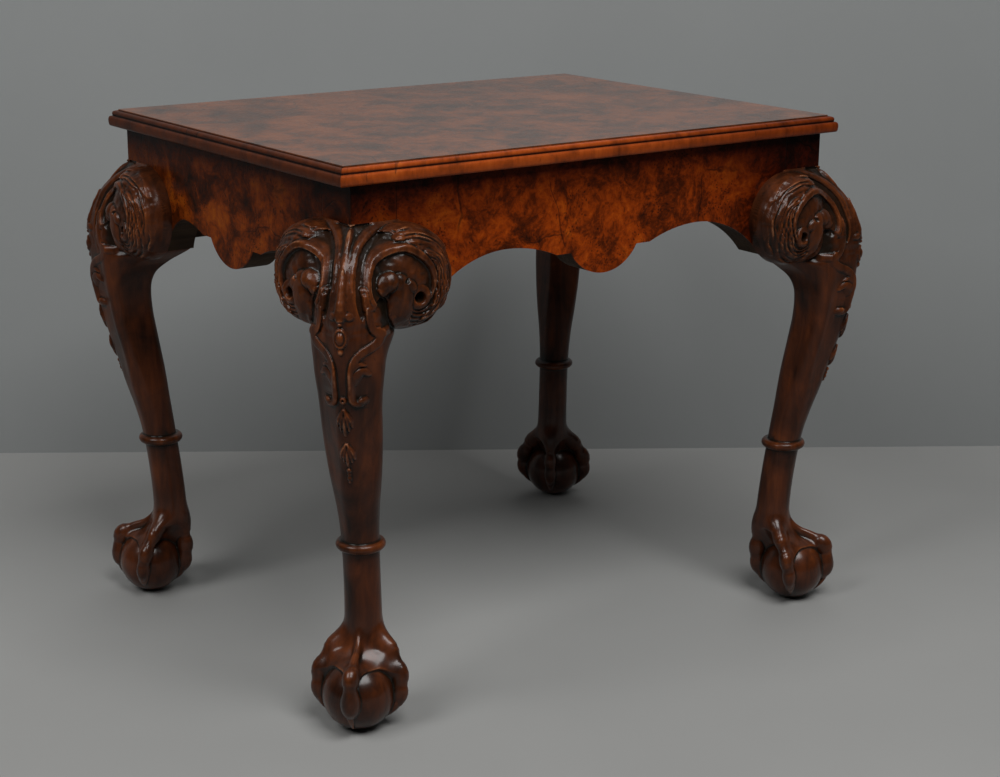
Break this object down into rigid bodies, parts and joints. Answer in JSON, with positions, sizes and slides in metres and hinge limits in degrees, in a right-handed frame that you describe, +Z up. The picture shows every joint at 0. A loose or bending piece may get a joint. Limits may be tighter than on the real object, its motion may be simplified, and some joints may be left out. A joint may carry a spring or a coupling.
{
  "type": "side table",
  "caption": "Low walnut side table with a burr veneered top, a shaped frieze and carved cabriole legs on ball and claw feet.",
  "frame": {"origin": "on the floor, under the middle of the top", "axes": "+Z up, +X along the long side, -Y the long side that faces the camera"},
  "size_m": [0.6538, 0.5158, 0.536],
  "materials": {
    "carcass_wood": "planed, unpolished",
    "burr_walnut": "burr veneer, french polished",
    "moulding_walnut": "cross-grained walnut, french polished",
    "carved_walnut": "dark walnut, waxed and polished",
    "screw_steel": "plain steel"
  },
  "bodies": {
    "root": {"top_core": "carcass_wood", "rail_front": "carcass_wood", "rail_back": "carcass_wood", "rail_left": "carcass_wood", "rail_right": "carcass_wood", "corner_block_front_left": "carcass_wood", "corner_block_front_right": "carcass_wood", "corner_block_back_left": "carcass_wood", "corner_block_back_right": "carcass_wood", "glue_block_front_left": "carcass_wood", "glue_block_front_right": "carcass_wood", "glue_block_back_left": "carcass_wood", "glue_block_back_right": "carcass_wood", "glue_block_left": "carcass_wood", "glue_block_right": "carcass_wood", "top_veneer": "burr_walnut", "facing_front": "burr_walnut", "facing_back": "burr_walnut", "facing_left": "burr_walnut", "facing_right": "burr_walnut", "post_facing_front_left": "burr_walnut", "post_facing_front_right": "burr_walnut", "post_facing_back_left": "burr_walnut", "post_facing_back_right": "burr_walnut", "post_facing_left_front": "burr_walnut", "post_facing_right_front": "burr_walnut", "post_facing_left_back": "burr_walnut", "post_facing_right_back": "burr_walnut", "moulding_front": "moulding_walnut", "moulding_back": "moulding_walnut", "moulding_left": "moulding_walnut", "moulding_right": "moulding_walnut", "leg_front_left": "carved_walnut", "leg_front_right": "carved_walnut", "leg_back_left": "carved_walnut", "leg_back_right": "carved_walnut", "ear_front_rail_left": "carved_walnut", "ear_front_rail_right": "carved_walnut", "ear_back_rail_left": "carved_walnut", "ear_back_rail_right": "carved_walnut", "ear_left_rail_front": "carved_walnut", "ear_right_rail_front": "carved_walnut", "ear_left_rail_back": "carved_walnut", "ear_right_rail_back": "carved_walnut", "top_screws": "screw_steel", "corner_screws": "screw_steel"}
  },
  "joints": []
}
